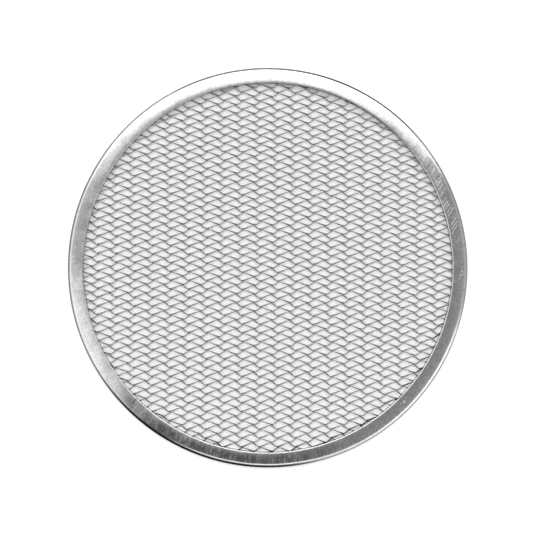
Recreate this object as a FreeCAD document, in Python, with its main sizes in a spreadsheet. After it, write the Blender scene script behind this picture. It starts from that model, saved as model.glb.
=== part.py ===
import FreeCAD, Part
import math
import os

import Sketcher

# Pizza screen: a disc of expanded aluminium mesh gripped by a rim of folded aluminium sheet.
# Millimetres and degrees, +Z up. The origin is the middle of the underside, so the screen
# lies on the plane z = 0. The long way of the mesh openings runs along X.

SIZES = [
    # Rim, one strip of sheet folded round the edge of the mesh
    ("outer_diameter", 305.0, "over the outer fold of the rim"),
    ("rim_sheet", 0.8, "thickness of the rim's sheet"),
    ("flange_width", 11.2, "top flange, from the outer fold to the tip of its lip"),
    ("lower_reach", 1.0, "how far the lower flange shows inside the top one"),
    ("crown_tilt", 5.0, "slope of the top flange, down from its crest to the outer fold"),
    ("lip_width", 1.0, "lip that turns down on the mesh, from its tip to the crest"),
    ("lip_drop", 0.2, "how far the lip's foot is below the flange over the mesh's edge"),
    ("lip_lean", 0.3, "how far the lip's foot stands back from its tip"),
    ("fold_corner", 0.8, "corner cut back above and below the outer fold"),
    # Split in the top flange, open at the lip
    ("split_length", 4.2, "radial length of the split, from the tip of the lip"),
    ("split_width", 0.4, "width of the split"),
    ("split_azimuth", 225.0, "direction of the split, counterclockwise from +X"),
    # Mesh, one sheet slit in rows and stretched
    ("mesh_sheet", 0.8, "thickness of the mesh's sheet"),
    ("diamond_long", 29.8, "pitch of the openings along X"),
    ("diamond_short", 14.4, "pitch of the openings along Y"),
    ("bond_long", 4.4, "bond between four strands, along X"),
    ("bond_short", 2.8, "bond between four strands, along Y"),
    ("bond_rise", 1.4, "how much higher the +Y corner of a bond is than its -Y corner"),
    ("mesh_grip", 3.5, "how far the mesh reaches under the top flange"),
    ("mesh_clearance", 0.05, "between the top of the mesh and the foot of the lip"),
]

# Sizes that follow from the driving ones, as formulas for the dimensions that they are bound to
RIM_RADIUS = "(Sizes.outer_diameter / 2)"
LIP_TIP = f"({RIM_RADIUS} - Sizes.flange_width)"
LOWER_END = f"({LIP_TIP} - Sizes.lower_reach)"
CREST = f"({LIP_TIP} + Sizes.lip_width)"
MESH_RADIUS = f"({LIP_TIP} + Sizes.mesh_grip)"
MESH_HEIGHT = (
    "(Sizes.bond_rise + Sizes.mesh_sheet * Sizes.bond_short"
    " / sqrt(Sizes.bond_short ^ 2 + Sizes.bond_rise ^ 2))"
)
LIP_LEVEL = f"(Sizes.rim_sheet + {MESH_HEIGHT} + Sizes.mesh_clearance)"
SLOPE = "tan(Sizes.crown_tilt * 1 deg)"
BEND_LEVEL = f"({LIP_LEVEL} + Sizes.lip_drop + ({MESH_RADIUS} - {CREST}) * {SLOPE})"
CREST_LEVEL = f"({BEND_LEVEL} + Sizes.rim_sheet)"
HEM_DEPTH = f"({RIM_RADIUS} - Sizes.rim_sheet)"
HEM_LEVEL = f"({BEND_LEVEL} - ({HEM_DEPTH} - {CREST}) * {SLOPE})"
SHOULDER = f"({RIM_RADIUS} - Sizes.fold_corner)"
SHOULDER_LEVEL = f"({CREST_LEVEL} - ({SHOULDER} - {CREST}) * {SLOPE})"

# Section of the rim, counterclockwise from the end of the lower flange: name, radius and level.
# The top flange bears on the mesh with the foot of its lip and slopes down past the mesh's edge.
RIM_SECTION = [
    ("lower_end", LOWER_END, None),
    ("heel", SHOULDER, None),
    ("fold_low", RIM_RADIUS, "Sizes.fold_corner"),
    ("fold_high", RIM_RADIUS, f"{SHOULDER_LEVEL} - Sizes.fold_corner"),
    ("shoulder", SHOULDER, SHOULDER_LEVEL),
    ("crest", CREST, CREST_LEVEL),
    ("lip_tip", LIP_TIP, f"({LIP_LEVEL} + Sizes.rim_sheet)"),
    ("lip_foot", f"{LIP_TIP} + Sizes.lip_lean", LIP_LEVEL),
    ("bend", CREST, BEND_LEVEL),
    ("hem_top", HEM_DEPTH, HEM_LEVEL),
    ("hem_bottom", HEM_DEPTH, "Sizes.rim_sheet"),
    ("lower_top", LOWER_END, "Sizes.rim_sheet"),
]

# Outline of the split in its own plan, where X runs outwards along it
SPLIT_END = f"({LIP_TIP} + Sizes.split_length)"
SPLIT_OUTLINE = [
    ("near_inside", LOWER_END, "-Sizes.split_width / 2"),
    ("near_outside", SPLIT_END, "-Sizes.split_width / 2"),
    ("far_outside", SPLIT_END, "Sizes.split_width / 2"),
    ("far_inside", LOWER_END, "Sizes.split_width / 2"),
]


def make_sheet(doc):
    """Spreadsheet with one named cell for each driving size."""
    sheet = doc.addObject("Spreadsheet::Sheet", "Sizes")
    for row, (name, value, note) in enumerate(SIZES, start=1):
        sheet.set(f"A{row}", name)
        sheet.set(f"B{row}", str(value))
        sheet.set(f"C{row}", note)
        sheet.setAlias(f"B{row}", name)
    doc.recompute()
    return sheet


def origin_plane(body, role):
    """Origin plane of a body, found by its role."""
    for feature in body.Origin.OriginFeatures:
        if feature.Role == role:
            return feature
    raise ValueError(f"{body.Label} has no {role}")


def new_sketch(body, name, role):
    """Empty sketch on an origin plane of the body."""
    sketch = body.newObject("Sketcher::SketchObject", name)
    sketch.AttachmentSupport = (origin_plane(body, role), [""])
    sketch.MapMode = "FlatFace"
    return sketch


def bind(sketch, name, kind, places, expression):
    """Named dimension of a sketch, bound to a formula of the driving sizes."""
    value = sketch.evalExpression(expression)
    index = sketch.addConstraint(Sketcher.Constraint(kind, *places, float(value)))
    sketch.renameConstraint(index, name)
    sketch.setExpression(f"Constraints.{name}", expression)


def draw_outline(sketch, corners):
    """Closed outline of straight lines, with each corner's two coordinates bound to its formulas."""
    first, last = 1, 2
    root, x_axis = (-1, first), -1
    points = []
    for _, across, along in corners:
        x = float(sketch.evalExpression(across))
        y = float(sketch.evalExpression(along)) if along else 0.0
        points.append(FreeCAD.Vector(x, y, 0))
    count = len(points)
    for index in range(count):
        sketch.addGeometry(Part.LineSegment(points[index], points[(index + 1) % count]))
    for index in range(count):
        after = (index + 1) % count
        sketch.addConstraint(Sketcher.Constraint("Coincident", index, last, after, first))
    for index, (name, across, along) in enumerate(corners):
        bind(sketch, f"{name}_x", "DistanceX", (*root, index, first), across)
        if along:
            bind(sketch, f"{name}_y", "DistanceY", (*root, index, first), along)
        else:
            sketch.addConstraint(Sketcher.Constraint("PointOnObject", index, first, x_axis))


def make_rim(doc, sizes):
    """Rim: the folded section turned round the Z axis, with the split in its top flange."""
    body = doc.addObject("PartDesign::Body", "rim")
    section = new_sketch(body, "rim_section", "XZ_Plane")
    draw_outline(section, RIM_SECTION)
    turned = body.newObject("PartDesign::Revolution", "rim_fold")
    turned.Profile = section
    turned.ReferenceAxis = (section, ["V_Axis"])
    turned.Angle = 360
    doc.recompute()

    outline = new_sketch(body, "split_outline", "XY_Plane")
    outline.setExpression(".AttachmentOffset.Base.z", "Sizes.rim_sheet")
    outline.AttachmentOffset = FreeCAD.Placement(
        FreeCAD.Vector(0, 0, sizes.rim_sheet),
        FreeCAD.Rotation(FreeCAD.Vector(0, 0, 1), sizes.split_azimuth),
    )
    outline.setExpression(".AttachmentOffset.Rotation.Angle", "Sizes.split_azimuth * 1 deg")
    draw_outline(outline, SPLIT_OUTLINE)
    split = body.newObject("PartDesign::Pocket", "split")
    split.Profile = outline
    split.Reversed = True
    split.setExpression("Length", CREST_LEVEL)
    doc.recompute()
    if split.Shape.Volume >= turned.Shape.Volume:
        raise ValueError("the split cuts nothing")
    return body


def mesh_loops(sizes, blank_radius):
    """Corner loops of the mesh's lower surface, one for each bond and each strand.

    A bond is a flat rhombus that leans, with its north corner (+Y) higher than its south corner.
    A strand is the flat strip from one side of a bond to the facing side of the next bond.
    """
    step_x = sizes.diamond_long / 2
    step_y = sizes.diamond_short / 2
    corner_offsets = {
        "east": (sizes.bond_long / 2, 0, sizes.bond_rise / 2),
        "north": (0, sizes.bond_short / 2, sizes.bond_rise),
        "west": (-sizes.bond_long / 2, 0, sizes.bond_rise / 2),
        "south": (0, -sizes.bond_short / 2, 0),
    }
    reach = blank_radius + step_x
    columns = math.ceil(reach / step_x)
    rows = math.ceil(reach / step_y)
    bonds = {
        (column, row)
        for column in range(-columns, columns + 1)
        for row in range(-rows, rows + 1)
        if (column + row) % 2 == 0 and math.hypot(column * step_x, row * step_y) < reach
    }

    def corner(bond, side):
        offset_x, offset_y, level = corner_offsets[side]
        return (bond[0] * step_x + offset_x, bond[1] * step_y + offset_y, level)

    loops = []
    for bond in sorted(bonds):
        loops.append([corner(bond, side) for side in ("east", "north", "west", "south")])
        north_east = (bond[0] + 1, bond[1] + 1)
        if north_east in bonds:
            ends = [(bond, "east"), (north_east, "south"), (north_east, "west"), (bond, "north")]
            loops.append([corner(*place) for place in ends])
        north_west = (bond[0] - 1, bond[1] + 1)
        if north_west in bonds:
            ends = [(bond, "north"), (north_west, "east"), (north_west, "south"), (bond, "west")]
            loops.append([corner(*place) for place in ends])
    return loops


def flat_face(points):
    """Flat face inside a closed loop of points."""
    return Part.Face(Part.makePolygon(points + points[:1]))


def stretched_sheet(sizes):
    """Solid of the slit and stretched sheet: its lower surface moved square to the bonds."""
    tilt = math.hypot(sizes.bond_short, sizes.bond_rise)
    thickness = FreeCAD.Vector(
        0,
        -sizes.mesh_sheet * sizes.bond_rise / tilt,
        sizes.mesh_sheet * sizes.bond_short / tilt,
    )
    loops = mesh_loops(sizes, float(sizes.evalExpression(MESH_RADIUS)))
    faces = []
    edges = set()
    for loop in loops:
        points = [FreeCAD.Vector(*place) for place in loop]
        faces.append(flat_face(points[::-1]))
        faces.append(flat_face([point + thickness for point in points]))
        edges.update(zip(loop, loop[1:] + loop[:1]))
    for start, end in sorted(edges):
        if (end, start) not in edges:
            low_start = FreeCAD.Vector(*start)
            low_end = FreeCAD.Vector(*end)
            faces.append(flat_face([low_start, low_end, low_end + thickness, low_start + thickness]))
    return Part.Solid(Part.makeShell(faces))


def make_mesh(doc, sizes):
    """Mesh: the stretched sheet cut to a round blank, without the bits that the cut sets loose."""
    stretched = doc.addObject("Part::Feature", "stretched_sheet")
    stretched.Shape = stretched_sheet(sizes)
    blank = doc.addObject("Part::Cylinder", "round_blank")
    blank.setExpression("Radius", MESH_RADIUS)
    blank.setExpression("Height", f"3 * {MESH_HEIGHT}")
    blank.setExpression("Placement.Base.z", f"-{MESH_HEIGHT}")
    cut = doc.addObject("Part::Common", "cut_to_blank")
    cut.Base = stretched
    cut.Tool = blank
    doc.recompute()
    mesh = doc.addObject("Part::Feature", "mesh")
    mesh.Shape = max(cut.Shape.Solids, key=lambda solid: solid.Volume)
    mesh.setExpression("Placement.Base.z", "Sizes.rim_sheet")
    doc.recompute()
    return mesh


def check(doc, parts):
    """Stop if an object failed or a piece isn't one valid solid."""
    for item in doc.Objects:
        if "Invalid" in item.State or "Error" in item.State:
            raise ValueError(f"{item.Label} failed: {item.State}")
    for part in parts:
        if part.Shape.isNull() or not part.Shape.isValid() or len(part.Shape.Solids) != 1:
            raise ValueError(f"{part.Label} is not one valid solid")


document = FreeCAD.newDocument("pizza_screen")
size_sheet = make_sheet(document)
pieces = [make_mesh(document, size_sheet), make_rim(document, size_sheet)]
check(document, pieces)
os.makedirs("parts", exist_ok=True)
for piece in pieces:
    piece.Shape.exportStep(f"parts/{piece.Label}.step")
    box = piece.Shape.BoundBox
    print(piece.Label, f"{piece.Shape.Volume:.1f} mm3,", f"z {box.ZMin:.3f} to {box.ZMax:.3f}")
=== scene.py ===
import math
import random

import bmesh
import bpy
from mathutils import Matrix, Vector, noise


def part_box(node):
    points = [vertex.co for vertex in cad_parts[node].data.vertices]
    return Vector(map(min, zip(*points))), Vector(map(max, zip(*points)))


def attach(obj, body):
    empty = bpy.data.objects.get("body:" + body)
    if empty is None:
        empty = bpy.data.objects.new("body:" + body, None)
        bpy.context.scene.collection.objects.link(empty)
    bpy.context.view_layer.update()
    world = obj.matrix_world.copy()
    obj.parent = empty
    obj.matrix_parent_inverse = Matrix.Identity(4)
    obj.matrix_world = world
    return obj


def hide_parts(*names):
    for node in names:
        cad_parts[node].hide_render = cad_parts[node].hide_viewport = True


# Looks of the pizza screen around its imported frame. The frame is in metres. Lengths here are in
# millimetres and angles in degrees, and a mesh is turned into metres when its object is made.
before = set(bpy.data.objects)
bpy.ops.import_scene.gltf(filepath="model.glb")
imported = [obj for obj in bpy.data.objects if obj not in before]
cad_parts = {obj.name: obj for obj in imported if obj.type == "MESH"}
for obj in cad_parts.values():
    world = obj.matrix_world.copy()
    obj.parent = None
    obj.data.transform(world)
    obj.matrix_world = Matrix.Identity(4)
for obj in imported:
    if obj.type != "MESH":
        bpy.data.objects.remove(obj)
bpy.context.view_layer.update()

MM = 0.001
random.seed(11)


def scene_box(node):
    """Lowest and highest corner of a frame node, in millimetres."""
    low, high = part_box(node)
    return low / MM, high / MM


RIM_LOW, RIM_HIGH = scene_box("rim")
MESH_BASE = scene_box("mesh")[0].z
OUTER_RADIUS = min(RIM_HIGH.x, RIM_HIGH.y, -RIM_LOW.x, -RIM_LOW.y)
CREST_LEVEL = RIM_HIGH.z

# Camera: straight above the screen, with the photograph's centre and scale
IMAGE_SIDE = 536
RIM_CENTRE_PIXEL = (267.68, 267.7)
RIM_RADIUS_PIXELS = 199.8
CAMERA_HEIGHT = 1200.0
EDGE_LEVEL = 2.0
SENSOR_WIDTH = 36.0

# Floor: size, how far it lies under the screen, and its tone; then its lift, the white that only
# the camera and reflections see: radii between which it changes, and its strength at both. The
# lift is weaker under the screen, which paints the screen's shade on the floor
FLOOR_RADIUS, FLOOR_CORNERS = 15000.0, 64
FLOOR_DROP = 0.03
FLOOR_TONE = 0.9
FLOOR_LIFT = (145.0, 153.0, 0.13, 0.35)

# Studio that the screen mirrors. A direction is read as the place where it meets a level ceiling
# one unit up, and its reach is that place's distance from the point overhead.
LEAST_HEIGHT = 0.02
# Patches: azimuth, degrees from it where the patch is full and where it ends, the reach where
# its strength starts and stops to change, and both strengths
STUDIO_PATCHES = {
    "wall": (172, 50, 60, 0.2, 0.9, 0.11, 0.5),
    "right side": (-15, 25, 45, 0.1, 1.1, 0.0, 0.22),
    "right glow": (48, 10, 21, 0.05, 0.25, 0.0, 0.28),
    "left glow": (115, 25, 46, 0.12, 0.27, 0.0, 0.5),
    "dark front": (-105, 22, 42, 0.1, 0.28, 0.0, -0.15),
    "front card": (-95, 12, 28, 0.5, 0.85, 0.0, 0.9),
    "right card": (-48, 24, 40, 0.8, 1.3, 0.0, 0.6),
}
WALL_SPOT = (201, 9, 26, 0.05, 0.25, 0.38, 0.52)
WALL_SPOT_FADE = (0.4, 0.9, 1.0, 0.25)
# Pale ring low down, and the sectors where it is missing
RING = (0.6, 1.0, 0.0, 0.2)
RING_GAPS = ((-118, 16, 32), (0, 12, 30))
# Wide light behind the screen: the corner and both slopes of its near edge, a flat V, then its
# strength by the distance past that edge, in two steps, and what is left of it low down
BACK_CORNER, BACK_RIGHT_SLOPE, BACK_LEFT_SLOPE = 0.07, 0.46, -0.33
BACK_STEPS = ((0.04, 0.19, 0.0, 1.35), (0.3, 0.8, 0.0, 2.2))
BACK_FADE = (1.3, 2.2, 1.0, 0.03)
# What is left of everything low down: it fades later at the right, more in front, and a share
# of it is always kept in one sector
LOW_FADE = (1.5, 2.4, 1.0, 0.35)
LOW_RIGHT_SECTOR, LOW_RIGHT_FADE = (-40, 42, 66), (2.8, 4.6, 1.0, 0.2)
LOW_FRONT = (-108, 22, 46, 1.05, 1.6, 0.0, 0.95)
KEPT_SECTOR, KEPT_SHARE = (12, 22, 42), 0.85
BASE_STRENGTH, LEAST_STRENGTH = 0.238, 0.015

# Rim section: turn, radius and number of steps of each bend, from the crest outwards and down,
# and of the lip from the crest inwards; then the radius where the lower flange ends. The crest
# leaves room above it for the waves of the flange.
CREST_RADIUS = 141.65
CREST_ROOM = 0.1
SHEET = 0.8
CROWN = (10.0, 45.2, 15)
SHOULDER = (18.0, 5.07, 8)
EDGE = (10.5, 9.4, 3)
NOSE_STEPS, UNDERSIDE_STEPS = 7, 8
LIP = (38.0, 1.0, 6)
LOWER_END = 140.3
RIM_SEGMENTS = 1080
# The inner face has one point for so many of the outer face, and none where the fold is tight:
# between which slopes that is, and the slope at which the top flange ends on the outer face
INSIDE_EVERY = 3
TIGHT_FROM, TIGHT_TO = 33.0, 95.0
TOP_END_SLOPE = 60.0

# Splits in the top flange: azimuth, width, and radius where each one ends; and how near to a
# split the ordinary sections are left out
SPLITS = ((225.0, 0.6, 146.0), (216.6, 0.4, 142.9))
SPLIT_CLEAR = 0.3
# The top flange is widest towards one azimuth: how much wider, and where it starts to widen
WIDER_BY, WIDEST_AZIMUTH, WIDER_WITHIN = 0.35, 165.0, 146.0
# Unevenness of the top flange: length and height of its long and short waves, and the width of
# the outer edge over which they die out
LONG_WAVE, LONG_WAVE_HEIGHT = 15.0, 0.16
SHORT_WAVE, SHORT_WAVE_HEIGHT = 5.0, 0.03
EVEN_EDGE = 3.0
# Dents: azimuth, radius, size along the rim, size across it, depth
DENTS = (
    (226.2, 147.5, 0.8, 2.5, 0.02),
    (44.4, 145.0, 1.5, 3.0, 0.01),
    (315.6, 145.0, 1.2, 1.2, 0.03),
)

# Scratches across the top flange at the upper right: x and y of both ends
SCRATCHES = (
    (120.1, 88.9, 117.1, 84.2),
    (120.9, 85.9, 118.5, 81.5),
    (120.1, 86.1, 118.2, 82.3),
    (127.2, 76.1, 125.0, 71.2),
    (132.3, 70.1, 127.7, 64.1),
    (132.3, 67.6, 129.1, 61.9),
    (132.9, 63.6, 130.4, 59.2),
    (133.4, 57.0, 131.5, 54.3),
    (137.2, 50.8, 134.2, 46.7),
    (138.3, 48.6, 135.6, 45.1),
    (141.6, 45.9, 137.8, 39.6),
    (138.1, 44.0, 137.0, 42.3),
    (143.5, 38.3, 139.7, 32.5),
    (144.3, 35.5, 140.0, 29.0),
    (144.6, 32.8, 140.5, 26.0),
)
# Fainter scratches between them
FAINT_SCRATCHES = (
    (117.0, 92.8, 113.9, 88.4),
    (123.6, 82.6, 120.4, 77.5),
    (125.1, 79.4, 122.4, 75.0),
    (129.6, 72.9, 126.6, 67.8),
    (130.6, 66.1, 128.4, 62.5),
    (134.9, 60.2, 132.6, 56.5),
    (136.0, 53.1, 133.5, 49.0),
    (140.2, 47.6, 137.0, 42.3),
    (143.1, 41.4, 140.2, 36.6),
    (146.3, 29.9, 142.6, 23.8),
    (147.0, 24.3, 144.2, 19.6),
)
# Half widths, the share of them within which a scratch is full, and how strong a faint one is
SCRATCH_HALF_WIDTH, FAINT_HALF_WIDTH = 0.3, 0.22
SCRATCH_CORE, FAINT_SHARE = 0.3, 0.45
# Scuffs on the top flange: azimuth, radius, size
SCUFFS = (
    (-1.1, 148.4, 1.3),
    (-2.2, 147.2, 1.2),
    (-3.2, 146.6, 1.2),
    (-1.9, 149.2, 0.9),
    (181.4, 150.0, 1.8),
    (183.2, 149.6, 1.5),
    (185.3, 149.9, 1.6),
    (176.5, 149.8, 1.7),
    (178.4, 150.0, 1.5),
    (-44.4, 146.0, 2.0),
    (-43.2, 144.6, 1.3),
    (-45.6, 144.6, 1.3),
)

# Grain of the finishes: size of its spots, detail and seed. Most of a grain's values lie within
# its spread.
SPREAD = (0.3, 0.7)
NARROW_SPREAD = (0.4, 0.65)
RUBBED_SPREAD = (0.42, 0.6)
MOTTLE = (2.2, 3.0, 0.0)
BLOTCH = (9.0, 2.0, 5.0)
CRIMP = (1.3, 1.0, 9.0)
RUBBING = (0.9, 2.0, 3.0)
SPECKLE = (1.5, 3.0, 14.0)
CLOUD = (5.0, 2.0, 17.0)
FOLD_SHADE_GRAIN = (2.5, 2.0, 21.0)
FOLD_GRAIN = (1.2, 2.0, 23.0)
MESH_SPECK_SIZE, MESH_CLOUD_SIZE, MESH_DETAIL, MESH_CLOUD_SEED = 0.5, 14.0, 2.0, 3.0

# Crimp marks run across the flange: the radius along which they are counted, how little they
# change across it, and where they are strongest
CRIMP_RADIUS, CRIMP_ACROSS = 147.0, 0.12
CRIMP_SECTOR, CRIMP_RADII = (-88, 22, 50), (149.3, 150.4)
# Levels between which the scratches start, so that they mark the top alone
TOP_LEVELS = (2.2, 2.6)

# Plain colour and roughness of the rim's finish and of its inner face with painted shade, for a viewer
# that shows no more
RIM_PLAIN = ((0.85, 0.85, 0.86), 0.1)
FOLD_PLAIN = ((0.4, 0.4, 0.4), 0.5)

# Roughness of the rim, least and most, and what each kind of wear adds
MOTTLE_ROUGHNESS = (0.07, 0.15)
BLOTCH_ROUGHNESS = (0.0, 0.05)
CRIMP_ROUGHNESS = (0.0, 0.09)
SCRATCH_ROUGHNESS, SCUFF_ROUGHNESS = 0.4, 0.55
LIP_RADII, LIP_ROUGHNESS = (141.4, 142.0), 0.1
LIP_FRONT_SECTOR, LIP_FRONT_ROUGHNESS = (-88, 60, 95), 0.22
# Rubbing polishes the outer edge: radii, and the share of the roughness that is left
POLISHED = (149.8, 150.8, 1.0, 0.45)

# Tones of the rim, how much more blue it has, and painted shade that darkens its outer edge
RIM_TONE, RIM_BLUE = 0.85, 0.01
SPECKLE_TONES, CLOUD_TONES = (-0.08, 0.08), (-0.05, 0.05)
EDGE_SHADE_RADII, EDGE_SHADE_LEVELS, EDGE_SHADE_COLOR = (151.3, 152.2), (0.8, 1.6), (0.5, 0.5, 0.5, 1)

# Heights of the rim's bump
MOTTLE_HEIGHT, CRIMP_HEIGHT, FRONT_CRIMP_HEIGHT = 0.009, 0.003, 0.03
SCRATCH_DEPTH, SCUFF_DEPTH = 0.01, 0.01

# Inner face of the fold: radii between which the painted shade closes in, how unevenly, and both
# colours, unshaded and shaded
FOLD_RADII, FOLD_UNEVEN = (141.3, 143.0), (-0.5, 0.5)
FOLD_UNSHADED, FOLD_SHADED = (0.7, 0.7, 0.69, 1), (0.04, 0.04, 0.04, 1)
FOLD_ROUGHNESS = (0.42, 0.6)

# Finishes of the mesh: name, tone, roughness and seed. Bonds and undersides have the first one,
# and sheared edges and the strands' upper faces have the others. Their tones are painted light:
# the sheared edges are lighter as a painted highlight, the strands' upper faces darker as painted
# shade.
MESH_FINISHES_AND_PAINTED_LIGHT = (
    ("mesh_aluminium", 0.58, 0.44, 31.0),
    ("mesh_edge", 0.92, 0.51, 41.0),
    ("mesh_strand", 0.47, 0.4, 51.0),
)
SHEARED_EDGE, STRAND_TOP = 1, 2
SPECK_TONES, MESH_CLOUD_TONES = (-0.08, 0.08), (0.96, 1.04)
# Painted shade on the mesh next to the lip: radii over which it comes in, and the share of the tone
# left
MESH_SHADE_RADII, MESH_SHADE_SHARE = (139.5, 141.5), 0.75
SPECK_ROUGHNESS, SPECK_HEIGHT = 0.05, 0.01
# The rim's inner face and the walls of its splits have its second material, with painted shade inside
# the fold
RIM_INSIDE = 1

# Mesh lattice as the photograph shows it, one long and one short step of the openings, and how
# many steps are tried each way
LONG_STEP = Vector((13.578, -0.130, 0))
SHORT_STEP = Vector((0, 6.569, 0))
COLUMNS, ROWS = 22, 30
# Uneven stretch of the sheet: shift along X and Y for x, y, xx, xy, yy, xxx, xxy, xyy and yyy,
# with x and y in units of 100 mm from the centre
STRETCH_UNIT = 100
STRETCH_X = (-0.02, 0.04, -0.71, -0.22, -0.36, 0.36, -0.06, 0.25, 0)
STRETCH_Y = (-0.06, -0.06, 0.07, -0.79, -0.66, 0, 0.33, 0.12, 0.24)
# Corners of the two kinds of bond on the sheet's upper face, from the bond's centre, with levels
BOND_KINDS = {
    "a": {
        "centre": Vector((3.49, -0.5, 0)),
        "north": Vector((0.81, 0.65, 1.31)),
        "south": Vector((-1.1, -0.6, 0)),
        "east": Vector((0.68, -0.38, 0.28)),
        "west": Vector((-0.68, -0.02, 0.28)),
    },
    "b": {
        "centre": Vector((-5.34, 2.76, 0)),
        "north": Vector((-1.02, 0.66, 1.31)),
        "south": Vector((0.95, -0.57, 0)),
        "east": Vector((0.63, -0.14, 0.28)),
        "west": Vector((-0.63, -0.38, 0.28)),
    },
}
# Strands: their steps, how late they twist, how far they sway sideways, and the share of their
# width that they lose at the middle, here a gain. Bonds are off their places by up to the shift.
STRAND_STEPS = 6
TWIST_POWER = 1.5
STRAND_SWAY = 0.12
STRAND_WAIST = -0.1
BOND_SHIFT = 0.01
MESH_SHEET = 0.45
MESH_RADIUS, MESH_MARGIN = 144.6, 8.0

SHARP_ANGLE = 40.0


def calc(tree, operation, *inputs, clamp=False):
    """Math node fed by sockets or numbers; gives its output socket."""
    node = tree.nodes.new("ShaderNodeMath")
    node.operation = operation
    node.use_clamp = clamp
    for index, value in enumerate(inputs):
        if isinstance(value, (int, float)):
            node.inputs[index].default_value = value
        else:
            tree.links.new(value, node.inputs[index])
    return node.outputs[0]


def chained(tree, operation, values):
    """Sockets or numbers joined one after the other by an operation."""
    result, *others = values
    for value in others:
        result = calc(tree, operation, result, value)
    return result


def total(tree, *values):
    """Sum of sockets or numbers."""
    return chained(tree, "ADD", values)


def product(tree, *values):
    """Product of sockets or numbers."""
    return chained(tree, "MULTIPLY", values)


def largest(tree, *values):
    """Largest of sockets or numbers."""
    return chained(tree, "MAXIMUM", values)


def ramp(tree, value, low, high, out_low=0.0, out_high=1.0):
    """Smooth step of a value between two limits."""
    node = tree.nodes.new("ShaderNodeMapRange")
    node.interpolation_type = "SMOOTHSTEP"
    tree.links.new(value, node.inputs["Value"])
    node.inputs["From Min"].default_value = low
    node.inputs["From Max"].default_value = high
    node.inputs["To Min"].default_value = out_low
    node.inputs["To Max"].default_value = out_high
    return node.outputs[0]


def vector_math(tree, operation, vector, second=None, factor=None):
    """Vector math node fed by sockets, tuples or numbers; gives the node."""
    node = tree.nodes.new("ShaderNodeVectorMath")
    node.operation = operation
    sockets = {socket.identifier: socket for socket in node.inputs}
    for name, value in (("Vector", vector), ("Vector_001", second), ("Scale", factor)):
        if isinstance(value, (int, float, tuple)):
            sockets[name].default_value = value
        elif value is not None:
            tree.links.new(value, sockets[name])
    return node


def length(tree, vector):
    """Length of a vector socket."""
    return vector_math(tree, "LENGTH", vector).outputs["Value"]


def around(azimuth, radius, level=0.0):
    """Point from its azimuth in radians, its radius and its level."""
    return Vector((radius * math.cos(azimuth), radius * math.sin(azimuth), level))


def sector(tree, x, y, azimuth, inner, outer):
    """1 within some degrees of an azimuth, falling to 0 at more degrees from it."""
    ahead_x, ahead_y, _ = around(math.radians(azimuth), 1.0)
    along = total(tree, product(tree, x, ahead_x), product(tree, y, ahead_y))
    across = calc(tree, "SUBTRACT", product(tree, y, ahead_x), product(tree, x, ahead_y))
    turn = calc(tree, "ABSOLUTE", calc(tree, "ARCTAN2", across, along))
    return ramp(tree, turn, math.radians(inner), math.radians(outer), 1.0, 0.0)


def make_camera():
    """Camera straight above the screen."""
    scale = OUTER_RADIUS / RIM_RADIUS_PIXELS
    half_side = IMAGE_SIDE / 2
    data = bpy.data.cameras.new("camera")
    data.type = "PERSP"
    data.sensor_width = SENSOR_WIDTH
    data.lens = SENSOR_WIDTH / 2 * (CAMERA_HEIGHT - EDGE_LEVEL) / (half_side * scale)
    camera = bpy.data.objects.new("camera", data)
    camera.location = (
        (half_side - RIM_CENTRE_PIXEL[0]) * scale * MM,
        (RIM_CENTRE_PIXEL[1] - half_side) * scale * MM,
        CAMERA_HEIGHT * MM,
    )
    bpy.context.scene.collection.objects.link(camera)
    bpy.context.scene.camera = camera


def seen_directly(tree):
    """1 for camera, glossy and transmission rays, 0 for the rays that only carry light."""
    path = tree.nodes.new("ShaderNodeLightPath")
    direct = calc(tree, "ADD", path.outputs["Is Camera Ray"], path.outputs["Is Glossy Ray"])
    return calc(tree, "ADD", direct, path.outputs["Is Transmission Ray"], clamp=True)


def floor_white():
    """White that keeps shadows and is lifted for the camera and for reflections; the lift is weaker
    under the screen, as painted shade.
    """
    material = bpy.data.materials.new("floor_white")
    material.use_nodes = True
    tree = material.node_tree
    tree.nodes.clear()
    diffuse = tree.nodes.new("ShaderNodeBsdfDiffuse")
    diffuse.inputs["Color"].default_value = (FLOOR_TONE, FLOOR_TONE, FLOOR_TONE, 1)
    place = tree.nodes.new("ShaderNodeTexCoord")
    near, far, lift_in_painted_shade, lift_around = FLOOR_LIFT
    distance = length(tree, place.outputs["Object"])
    # painted shade: the lift is weaker under the screen, so the floor there is darker
    lift = ramp(tree, distance, near * MM, far * MM, lift_in_painted_shade, lift_around)
    glow = tree.nodes.new("ShaderNodeEmission")
    tree.links.new(product(tree, seen_directly(tree), lift), glow.inputs["Strength"])
    both = tree.nodes.new("ShaderNodeAddShader")
    output = tree.nodes.new("ShaderNodeOutputMaterial")
    tree.links.new(diffuse.outputs[0], both.inputs[0])
    tree.links.new(glow.outputs[0], both.inputs[1])
    tree.links.new(both.outputs[0], output.inputs["Surface"])
    return material


def make_floor():
    """White floor under the screen."""
    shape = bmesh.new()
    bmesh.ops.create_circle(shape, cap_ends=True, radius=FLOOR_RADIUS * MM, segments=FLOOR_CORNERS)
    data = bpy.data.meshes.new("floor")
    shape.to_mesh(data)
    shape.free()
    data.materials.append(floor_white())
    floor = bpy.data.objects.new("floor", data)
    floor.location.z = -FLOOR_DROP * MM
    bpy.context.scene.collection.objects.link(floor)


def back_light(tree, x, y, reach):
    """Wide light behind the screen, with a near edge that is a flat V."""
    off_corner = calc(tree, "SUBTRACT", x, BACK_CORNER)
    right = product(tree, largest(tree, off_corner, 0.0), BACK_RIGHT_SLOPE)
    left = product(tree, calc(tree, "MINIMUM", off_corner, 0.0), BACK_LEFT_SLOPE)
    past_edge = calc(tree, "SUBTRACT", calc(tree, "SUBTRACT", y, right), left)
    steps = [ramp(tree, past_edge, *step) for step in BACK_STEPS]
    return product(tree, total(tree, *steps), ramp(tree, reach, *BACK_FADE))


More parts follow.
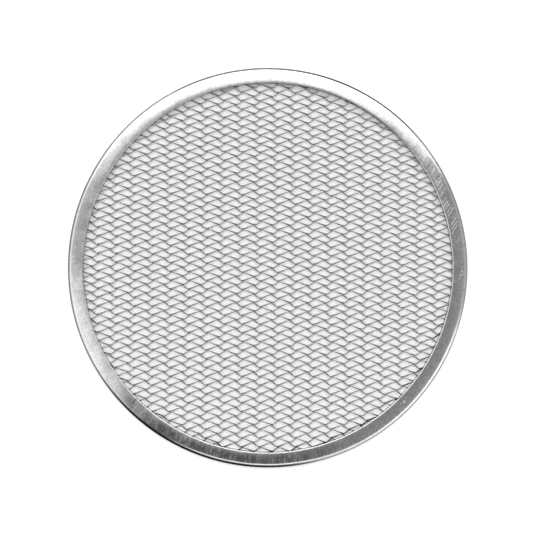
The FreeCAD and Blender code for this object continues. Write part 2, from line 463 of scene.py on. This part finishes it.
def make_studio():
    """World as a soft studio: a wide white light behind the screen, a pale wall at the left with
    a brighter spot, cards low down in front and at the right, and glows nearer the zenith."""
    world = bpy.data.worlds.new("studio")
    bpy.context.scene.world = world
    world.use_nodes = True
    tree = world.node_tree
    tree.nodes.clear()
    place = tree.nodes.new("ShaderNodeTexCoord")
    direction = tree.nodes.new("ShaderNodeSeparateXYZ")
    tree.links.new(place.outputs["Generated"], direction.inputs[0])
    height = largest(tree, direction.outputs[2], LEAST_HEIGHT)
    x = calc(tree, "DIVIDE", direction.outputs[0], height)
    y = calc(tree, "DIVIDE", direction.outputs[1], height)
    reach = calc(tree, "SQRT", total(tree, product(tree, x, x), product(tree, y, y)))

    def patch(azimuth, inner, outer, *change):
        """Sector of the studio whose strength changes with its reach."""
        return product(tree, sector(tree, x, y, azimuth, inner, outer), ramp(tree, reach, *change))

    patches = [patch(*values) for values in STUDIO_PATCHES.values()]
    patches.append(product(tree, patch(*WALL_SPOT), ramp(tree, reach, *WALL_SPOT_FADE)))
    ring = ramp(tree, reach, *RING)
    for gap in RING_GAPS:
        ring = product(tree, ring, calc(tree, "SUBTRACT", 1.0, sector(tree, x, y, *gap)))

    low = ramp(tree, reach, *LOW_FADE)
    to_right = calc(tree, "SUBTRACT", ramp(tree, reach, *LOW_RIGHT_FADE), low)
    low = total(tree, low, product(tree, sector(tree, x, y, *LOW_RIGHT_SECTOR), to_right))
    low = product(tree, low, calc(tree, "SUBTRACT", 1.0, patch(*LOW_FRONT)))
    low = largest(tree, low, product(tree, sector(tree, x, y, *KEPT_SECTOR), KEPT_SHARE))

    strength = total(tree, BASE_STRENGTH, *patches, ring)
    strength = largest(tree, strength, back_light(tree, x, y, reach))
    strength = largest(tree, product(tree, strength, low), LEAST_STRENGTH)
    background = tree.nodes.new("ShaderNodeBackground")
    output = tree.nodes.new("ShaderNodeOutputWorld")
    background.inputs["Color"].default_value = (1, 1, 1, 1)
    tree.links.new(strength, background.inputs["Strength"])
    tree.links.new(background.outputs[0], output.inputs["Surface"])


def aluminium(name, color, roughness):
    """Plain aluminium to start from: material, its node tree and its shader."""
    material = bpy.data.materials.new(name)
    material.use_nodes = True
    tree = material.node_tree
    shader = tree.nodes["Principled BSDF"]
    shader.inputs["Base Color"].default_value = (*color, 1)
    shader.inputs["Metallic"].default_value = 1.0
    shader.inputs["Roughness"].default_value = roughness
    return material, tree, shader


def millimetres(tree):
    """Place on the object in millimetres: without its level, then x, y, z and the radius."""
    place = tree.nodes.new("ShaderNodeTexCoord").outputs["Object"]
    scaled = vector_math(tree, "SCALE", place, factor=1 / MM).outputs[0]
    parts = tree.nodes.new("ShaderNodeSeparateXYZ")
    tree.links.new(scaled, parts.inputs[0])
    flat = vector_math(tree, "MULTIPLY", scaled, (1.0, 1.0, 0.0)).outputs[0]
    return flat, *parts.outputs, length(tree, flat)


def grain(tree, place, size, detail, seed):
    """Noise from 0 to 1 whose spots have about a given size in millimetres."""
    node = tree.nodes.new("ShaderNodeTexNoise")
    node.noise_dimensions = "4D"
    node.inputs["W"].default_value = seed
    node.inputs["Scale"].default_value = 1 / size
    node.inputs["Detail"].default_value = detail
    tree.links.new(place, node.inputs["Vector"])
    return node.outputs[0]


def grey(tree, tone, more_blue=0.0):
    """Grey of a tone, with a little more blue where asked for."""
    node = tree.nodes.new("ShaderNodeCombineColor")
    for name, value in (("Red", tone), ("Green", tone), ("Blue", total(tree, tone, more_blue))):
        tree.links.new(value, node.inputs[name])
    return node.outputs[0]


def shaded_towards(tree, share, unshaded, shade_colour):
    """Colour that goes over from an unshaded one, a socket or plain, to a plain colour of painted
    shade.
    """
    node = tree.nodes.new("ShaderNodeMix")
    node.data_type = "RGBA"
    tree.links.new(share, node.inputs["Factor"])
    if isinstance(unshaded, tuple):
        node.inputs["A"].default_value = unshaded
    else:
        tree.links.new(unshaded, node.inputs["A"])
    node.inputs["B"].default_value = shade_colour
    return node.outputs["Result"]


def add_bump(tree, shader, height):
    """Bump from a height in millimetres."""
    bump = tree.nodes.new("ShaderNodeBump")
    bump.inputs["Distance"].default_value = MM
    tree.links.new(height, bump.inputs["Height"])
    tree.links.new(bump.outputs[0], shader.inputs["Normal"])


def scratch_mark(tree, flat, ends, half_width):
    """1 on the line between two points, falling to 0 at half its width."""
    start, end = Vector((*ends[:2], 0)), Vector((*ends[2:], 0))
    line_length = (end - start).length
    ahead = tuple((end - start) / line_length)
    from_start = vector_math(tree, "SUBTRACT", flat, tuple(start)).outputs[0]
    along = vector_math(tree, "DOT_PRODUCT", from_start, ahead).outputs["Value"]
    along = calc(tree, "MINIMUM", largest(tree, along, 0.0), line_length)
    nearest = vector_math(tree, "SCALE", ahead, factor=along).outputs[0]
    distance = length(tree, vector_math(tree, "SUBTRACT", from_start, nearest).outputs[0])
    return ramp(tree, distance, half_width * SCRATCH_CORE, half_width, 1.0, 0.0)


def scratch_marks(tree, flat, z):
    """Full and faint scratches of the top flange."""
    full = [scratch_mark(tree, flat, ends, SCRATCH_HALF_WIDTH) for ends in SCRATCHES]
    faint = [scratch_mark(tree, flat, ends, FAINT_HALF_WIDTH) for ends in FAINT_SCRATCHES]
    marks = largest(tree, *full, product(tree, largest(tree, *faint), FAINT_SHARE))
    return product(tree, marks, ramp(tree, z, *TOP_LEVELS))


def scuff_marks(tree, flat):
    """Scuffed spots of the top flange, broken up by rubbing."""
    marks = []
    for azimuth, radius, size in SCUFFS:
        spot = tuple(around(math.radians(azimuth), radius))
        distance = length(tree, vector_math(tree, "SUBTRACT", flat, spot).outputs[0])
        marks.append(ramp(tree, distance, 0.0, size, 1.0, 0.0))
    rubbed = ramp(tree, grain(tree, flat, *RUBBING), *RUBBED_SPREAD)
    return product(tree, largest(tree, *marks), rubbed)


def crimp_grain(tree, x, y, radius):
    """Grain drawn out across the flange, as the crimping left it."""
    azimuth = calc(tree, "ARCTAN2", y, x)
    place = tree.nodes.new("ShaderNodeCombineXYZ")
    tree.links.new(product(tree, azimuth, CRIMP_RADIUS), place.inputs[0])
    tree.links.new(product(tree, radius, CRIMP_ACROSS), place.inputs[1])
    return grain(tree, place.outputs[0], *CRIMP)


def rim_finish():
    """Rolled aluminium, worn: mottled and grainy, with fine crimp marks across the flange that are
    strongest in front, scratches at the upper right, scuffs, and rubbed edges, and painted shade
    on the fold's outer edge."""
    material, tree, shader = aluminium("rim_aluminium", *RIM_PLAIN)
    flat, x, y, z, radius = millimetres(tree)
    scratches = scratch_marks(tree, flat, z)
    scuffs = scuff_marks(tree, flat)
    mottle = grain(tree, flat, *MOTTLE)
    crimp = crimp_grain(tree, x, y, radius)
    front = product(tree, sector(tree, x, y, *CRIMP_SECTOR), ramp(tree, radius, *CRIMP_RADII, 1.0, 0.0))

    lip_front = product(tree, sector(tree, x, y, *LIP_FRONT_SECTOR), LIP_FRONT_ROUGHNESS)
    roughness = total(
        tree,
        ramp(tree, mottle, *SPREAD, *MOTTLE_ROUGHNESS),
        ramp(tree, grain(tree, flat, *BLOTCH), *NARROW_SPREAD, *BLOTCH_ROUGHNESS),
        product(tree, scratches, SCRATCH_ROUGHNESS),
        product(tree, scuffs, SCUFF_ROUGHNESS),
        product(tree, front, ramp(tree, crimp, *NARROW_SPREAD, *CRIMP_ROUGHNESS)),
        product(tree, ramp(tree, radius, *LIP_RADII, 1.0, 0.0), total(tree, lip_front, LIP_ROUGHNESS)),
    )
    roughness = product(tree, roughness, ramp(tree, radius, *POLISHED))
    tree.links.new(roughness, shader.inputs["Roughness"])

    speckle = ramp(tree, grain(tree, flat, *SPECKLE), *SPREAD, *SPECKLE_TONES)
    cloud = ramp(tree, grain(tree, flat, *CLOUD), *SPREAD, *CLOUD_TONES)
    unshaded = grey(tree, total(tree, speckle, cloud, RIM_TONE), RIM_BLUE)
    # painted shade: the fold's outer edge is darkened towards its outermost radius and upper levels
    edge_shade = product(tree, ramp(tree, radius, *EDGE_SHADE_RADII), ramp(tree, z, *EDGE_SHADE_LEVELS))
    tree.links.new(shaded_towards(tree, edge_shade, unshaded, EDGE_SHADE_COLOR), shader.inputs["Base Color"])

    crimp_height = total(tree, product(tree, front, FRONT_CRIMP_HEIGHT), CRIMP_HEIGHT)
    height = total(
        tree,
        product(tree, mottle, MOTTLE_HEIGHT),
        product(tree, crimp, crimp_height),
        product(tree, scratches, -SCRATCH_DEPTH),
        product(tree, scuffs, -SCUFF_DEPTH),
    )
    add_bump(tree, shader, height)
    return material


def inside_finish_and_shade():
    """Dull inner face of the fold, with painted shade that gets deeper from its mouth inwards."""
    material, tree, shader = aluminium("rim_inside", *FOLD_PLAIN)
    flat, _, _, _, radius = millimetres(tree)
    uneven = ramp(tree, grain(tree, flat, *FOLD_SHADE_GRAIN), *SPREAD, *FOLD_UNEVEN)
    # painted shade: the inner face darkens from the fold's mouth inwards
    fold_shade = ramp(tree, total(tree, radius, uneven), *FOLD_RADII)
    tree.links.new(shaded_towards(tree, fold_shade, FOLD_UNSHADED, FOLD_SHADED), shader.inputs["Base Color"])
    roughness = ramp(tree, grain(tree, flat, *FOLD_GRAIN), *SPREAD, *FOLD_ROUGHNESS)
    tree.links.new(roughness, shader.inputs["Roughness"])
    return material


def mesh_finish_and_painted_light(name, tone, roughness, seed):
    """Aluminium of the mesh: cloudy and fine-grained, and darker next to the lip with painted shade."""
    material, tree, shader = aluminium(name, (tone, tone, tone), roughness)
    flat, _, _, _, radius = millimetres(tree)
    speck = grain(tree, flat, MESH_SPECK_SIZE, MESH_DETAIL, seed)
    cloud = grain(tree, flat, MESH_CLOUD_SIZE, MESH_DETAIL, seed + MESH_CLOUD_SEED)
    uneven = total(
        tree,
        ramp(tree, speck, *SPREAD, *SPECK_TONES),
        ramp(tree, cloud, *SPREAD, *MESH_CLOUD_TONES),
    )
    # painted shade: the mesh's tone falls next to the lip
    lip_shade = ramp(tree, radius, *MESH_SHADE_RADII, tone, tone * MESH_SHADE_SHARE)
    tree.links.new(grey(tree, product(tree, uneven, lip_shade)), shader.inputs["Base Color"])
    roughness_limits = (roughness - SPECK_ROUGHNESS, roughness + SPECK_ROUGHNESS)
    tree.links.new(ramp(tree, speck, *SPREAD, *roughness_limits), shader.inputs["Roughness"])
    add_bump(tree, shader, product(tree, speck, SPECK_HEIGHT))
    return material


def make_piece(name, shape, materials, replaced):
    """Object from a bmesh in millimetres, riding on the root body."""
    data = bpy.data.meshes.new(name)
    bmesh.ops.scale(shape, vec=(MM, MM, MM), verts=shape.verts)
    shape.to_mesh(data)
    shape.free()
    for material in materials:
        data.materials.append(material)
    piece = bpy.data.objects.new(name, data)
    bpy.context.scene.collection.objects.link(piece)
    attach(piece, "root")
    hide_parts(replaced)


def finish_shading(shape):
    """Smooth faces, with sharp edges where the surface ends or turns by more than an angle."""
    for face in shape.faces:
        face.smooth = True
    for edge in shape.edges:
        edge.smooth = len(edge.link_faces) == 2 and edge.calc_face_angle(0) < math.radians(SHARP_ANGLE)


def arc(start, slope, turn, bend, steps):
    """Points along an arc of the section that starts at a point (radius, level) with a downward
    slope and turns further down; gives the points after the start, each with its slope."""
    radius, level = start
    points = []
    for step in range(1, steps + 1):
        angle = slope + turn * step / steps
        outwards = math.sin(math.radians(angle)) - math.sin(math.radians(slope))
        down = math.cos(math.radians(slope)) - math.cos(math.radians(angle))
        points.append((radius + bend * outwards, level - bend * down, angle))
    return points


def rim_outside():
    """Outer face of the rim's section, from the tip of the lip over the crest and the fold to
    the end of the lower flange: radius, level and slope."""
    crest = (CREST_RADIUS, CREST_LEVEL - CREST_ROOM)
    lip = [(2 * CREST_RADIUS - radius, level, -angle) for radius, level, angle in arc(crest, 0, *LIP)]
    points = lip[::-1] + [(*crest, 0.0)]
    slope = 0.0
    for turn, bend, steps in (CROWN, SHOULDER, EDGE):
        points += arc(points[-1][:2], slope, turn, bend, steps)
        slope += turn
    nose_bend = (OUTER_RADIUS - points[-1][0]) / (1 - math.sin(math.radians(slope)))
    points += arc(points[-1][:2], slope, 90 - slope, nose_bend, NOSE_STEPS)
    points += arc(points[-1][:2], 90, 90, points[-1][1], UNDERSIDE_STEPS)
    points.append((LOWER_END, 0.0, 180.0))
    return points


def rim_azimuths():
    """Azimuths in degrees at which the section stands, with both sides of each split; and for
    the first side of each split, the radius where the split ends."""
    azimuths = []
    for index in range(RIM_SEGMENTS):
        azimuth = 360 * index / RIM_SEGMENTS
        if all(abs(azimuth - split[0]) > SPLIT_CLEAR for split in SPLITS):
            azimuths.append(azimuth)
    ends = {}
    for azimuth, width, end in SPLITS:
        half = math.degrees(width / 2 / CREST_RADIUS)
        azimuths += [azimuth - half, azimuth + half]
        ends[azimuth - half] = end
    return sorted(azimuths), ends


def flange_drop(azimuth, radius):
    """How far the hand-worn top flange lies below its true shape."""
    place = around(azimuth, radius)
    drop = LONG_WAVE_HEIGHT / 2 * noise.noise(place / LONG_WAVE)
    drop += SHORT_WAVE_HEIGHT / 2 * noise.noise(place / SHORT_WAVE)
    for dent_azimuth, dent_radius, along, across, depth in DENTS:
        off_along = (azimuth - math.radians(dent_azimuth)) * radius / along
        off_across = (radius - dent_radius) / across
        drop += depth * math.exp(-off_along * off_along - off_across * off_across)
    return drop * min(max((OUTER_RADIUS - radius) / EVEN_EDGE, 0), 1)


def flange_reach(azimuth, radius):
    """Radius of a point of the top flange, which is a little wider on one side."""
    share = min(max((WIDER_WITHIN - radius) / (WIDER_WITHIN - CREST_RADIUS), 0), 1)
    return radius - share * WIDER_BY * max(math.cos(azimuth - math.radians(WIDEST_AZIMUTH)), 0)


def rim_ring(shape, section, top, azimuth):
    """Vertices of the section at an azimuth, with the top flange worn and widened."""
    ring = []
    for index, (radius, level) in enumerate(section):
        drop = 0
        if index in top:
            drop = flange_drop(azimuth, radius)
            radius = flange_reach(azimuth, radius)
        ring.append(shape.verts.new(around(azimuth, radius, level - drop)))
    return ring


def wall_split(shape, ring, following, last):
    """Walls of a split between two rings, up to a point of the outer face: both cut sides and
    the end. Gives the points between which the flange stays open."""
    count = len(ring)
    last_inside = count - 1 - last // INSIDE_EVERY
    wall = list(range(last_inside, count)) + list(range(last + 1))
    walls = [[side[place] for place in wall] for side in (ring, following)]
    walls.append((ring[last], following[last], following[last_inside], ring[last_inside]))
    for corners in walls:
        shape.faces.new(corners).material_index = RIM_INSIDE
    return set(wall)


def make_rim(materials):
    """Rim turned round the Z axis from one sheet: outer face, inner face and both cut ends, with
    the splits cut through the top flange."""
    outside = rim_outside()
    inside = [
        (radius - SHEET * math.sin(math.radians(slope)), level - SHEET * math.cos(math.radians(slope)))
        for radius, level, slope in outside[::INSIDE_EVERY]
        if not TIGHT_FROM < slope < TIGHT_TO
    ]
    section = [(radius, level) for radius, level, _ in outside] + inside[::-1]
    count = len(section)
    top_points = sum(slope <= TOP_END_SLOPE for _, _, slope in outside)
    top_inside = sum(slope < TIGHT_FROM for _, _, slope in outside[::INSIDE_EVERY])
    top = set(range(top_points)) | set(range(count - top_inside, count))

    shape = bmesh.new()
    azimuths, split_ends = rim_azimuths()
    rings = [rim_ring(shape, section, top, math.radians(azimuth)) for azimuth in azimuths]
    for index, azimuth in enumerate(azimuths):
        ring, following = rings[index], rings[(index + 1) % len(rings)]
        open_points = set()
        if azimuth in split_ends:
            steps = range(0, top_points, INSIDE_EVERY)
            last = max(step for step in steps if outside[step][0] < split_ends[azimuth]) + INSIDE_EVERY
            open_points = wall_split(shape, ring, following, last)
        for place in range(count):
            after = (place + 1) % count
            if place in open_points and after in open_points:
                continue
            face = shape.faces.new((ring[place], following[place], following[after], ring[after]))
            if len(outside) <= place < count - 1:
                face.material_index = RIM_INSIDE
    bmesh.ops.recalc_face_normals(shape, faces=shape.faces)
    finish_shading(shape)
    make_piece("rim_folded", shape, materials, "rim")


def uneven_stretch(place):
    """Shift of a place in the sheet, because it isn't stretched evenly."""
    x, y = place.x / STRETCH_UNIT, place.y / STRETCH_UNIT
    terms = (x, y, x * x, x * y, y * y, x**3, x * x * y, x * y * y, y**3)
    shift_x = sum(share * term for share, term in zip(STRETCH_X, terms))
    shift_y = sum(share * term for share, term in zip(STRETCH_Y, terms))
    return Vector((shift_x, shift_y, 0))


def bond_corners():
    """Corners of each bond on the sheet's upper face, by its kind, column and row."""
    corners = {}
    for column in range(-COLUMNS, COLUMNS + 1):
        for row in range(-ROWS, ROWS + 1):
            for kind, bond in BOND_KINDS.items():
                place = bond["centre"] + column * LONG_STEP + row * SHORT_STEP
                place += uneven_stretch(place)
                if place.length > MESH_RADIUS + MESH_MARGIN:
                    continue
                shift = Vector((random.uniform(-1, 1), random.uniform(-1, 1), 0)) * BOND_SHIFT
                corners[kind, column, row] = {
                    side: place + bond[side] + shift for side in ("east", "north", "west", "south")
                }
    return corners


def bonds_above(kind, column, row):
    """Bonds at the upper right and the upper left of a bond."""
    if kind == "a":
        return ("b", column + 1, row), ("b", column, row)
    return ("a", column, row + 1), ("a", column - 1, row + 1)


def strand_pairs(low_start, high_start, low_end, high_end):
    """Lower and upper points along a strand, from a lower bond's side to an upper bond's."""
    mean_start = (low_start.z + high_start.z) / 2
    mean_end = (low_end.z + high_end.z) / 2
    lean_start = (high_start.z - low_start.z) / 2
    lean_end = (high_end.z - low_end.z) / 2
    pairs = []
    for step in range(STRAND_STEPS + 1):
        along = step / STRAND_STEPS
        level = mean_start + (mean_end - mean_start) * along
        lean = lean_start + (lean_end - lean_start) * along ** TWIST_POWER
        sway = Vector((0, -STRAND_SWAY * math.sin(2 * math.pi * along), 0))
        low = low_start.lerp(low_end, along) + sway
        high = high_start.lerp(high_end, along) + sway
        waist = STRAND_WAIST / 2 * math.sin(math.pi * along)
        low, high = low.lerp(high, waist), high.lerp(low, waist)
        low.z = level - lean
        high.z = level + lean
        pairs.append((low, high))
    return pairs


def make_mesh(materials):
    """Expanded mesh: bonds and strands as a surface, then given the sheet's thickness."""
    corners = bond_corners()
    shape = bmesh.new()
    known = {}

    def add_face(points):
        """Face between points, which shares its vertices with the faces beside it."""
        vertices = []
        for point in points:
            key = tuple(round(value, 4) for value in point)
            if key not in known:
                known[key] = shape.verts.new(point)
            vertices.append(known[key])
        return shape.faces.new(vertices)

    def add_strand(*ends):
        """Strip of faces along a strand."""
        pairs = strand_pairs(*ends)
        for (low, high), (next_low, next_high) in zip(pairs, pairs[1:]):
            middle = (low + high + next_low + next_high) / 4
            if middle.xy.length < MESH_RADIUS:
                add_face((low, next_low, next_high, high)).material_index = STRAND_TOP

    for key, bond in corners.items():
        centre = (bond["east"] + bond["west"]) / 2
        if centre.xy.length < MESH_RADIUS:
            add_face([bond[side] for side in ("east", "north", "west")])
            add_face([bond[side] for side in ("east", "west", "south")])
        right, left = (corners.get(above) for above in bonds_above(*key))
        if right:
            add_strand(bond["east"], bond["north"], right["south"], right["west"])
        if left:
            add_strand(bond["west"], bond["north"], left["south"], left["east"])
    bmesh.ops.recalc_face_normals(shape, faces=shape.faces)
    if sum(face.normal.z for face in shape.faces) < 0:
        bmesh.ops.reverse_faces(shape, faces=shape.faces)
    thicken(shape)
    finish_shading(shape)
    make_piece("mesh_expanded", shape, materials, "mesh")


def thicken(shape):
    """Give the mesh's upper face its sheet's thickness, and set it on the lower flange."""
    shape.normal_update()
    upper_faces = shape.faces[:]
    open_edges = [edge for edge in shape.edges if len(edge.link_faces) == 1]
    lower = {vert: shape.verts.new(vert.co - vert.normal * MESH_SHEET) for vert in shape.verts[:]}
    for face in upper_faces:
        shape.faces.new([lower[vert] for vert in reversed(face.verts)])
    for edge in open_edges:
        loop = edge.link_loops[0]
        start, end = loop.vert, loop.link_loop_next.vert
        side = shape.faces.new((end, start, lower[start], lower[end]))
        side.material_index = SHEARED_EDGE
    lowest = min(vert.co.z for vert in shape.verts)
    for vert in shape.verts:
        vert.co.z += MESH_BASE - lowest


make_camera()
make_floor()
make_studio()
make_rim([rim_finish(), inside_finish_and_shade()])
make_mesh([mesh_finish_and_painted_light(*finish) for finish in MESH_FINISHES_AND_PAINTED_LIGHT])
bpy.context.scene.view_settings.view_transform = "Standard"
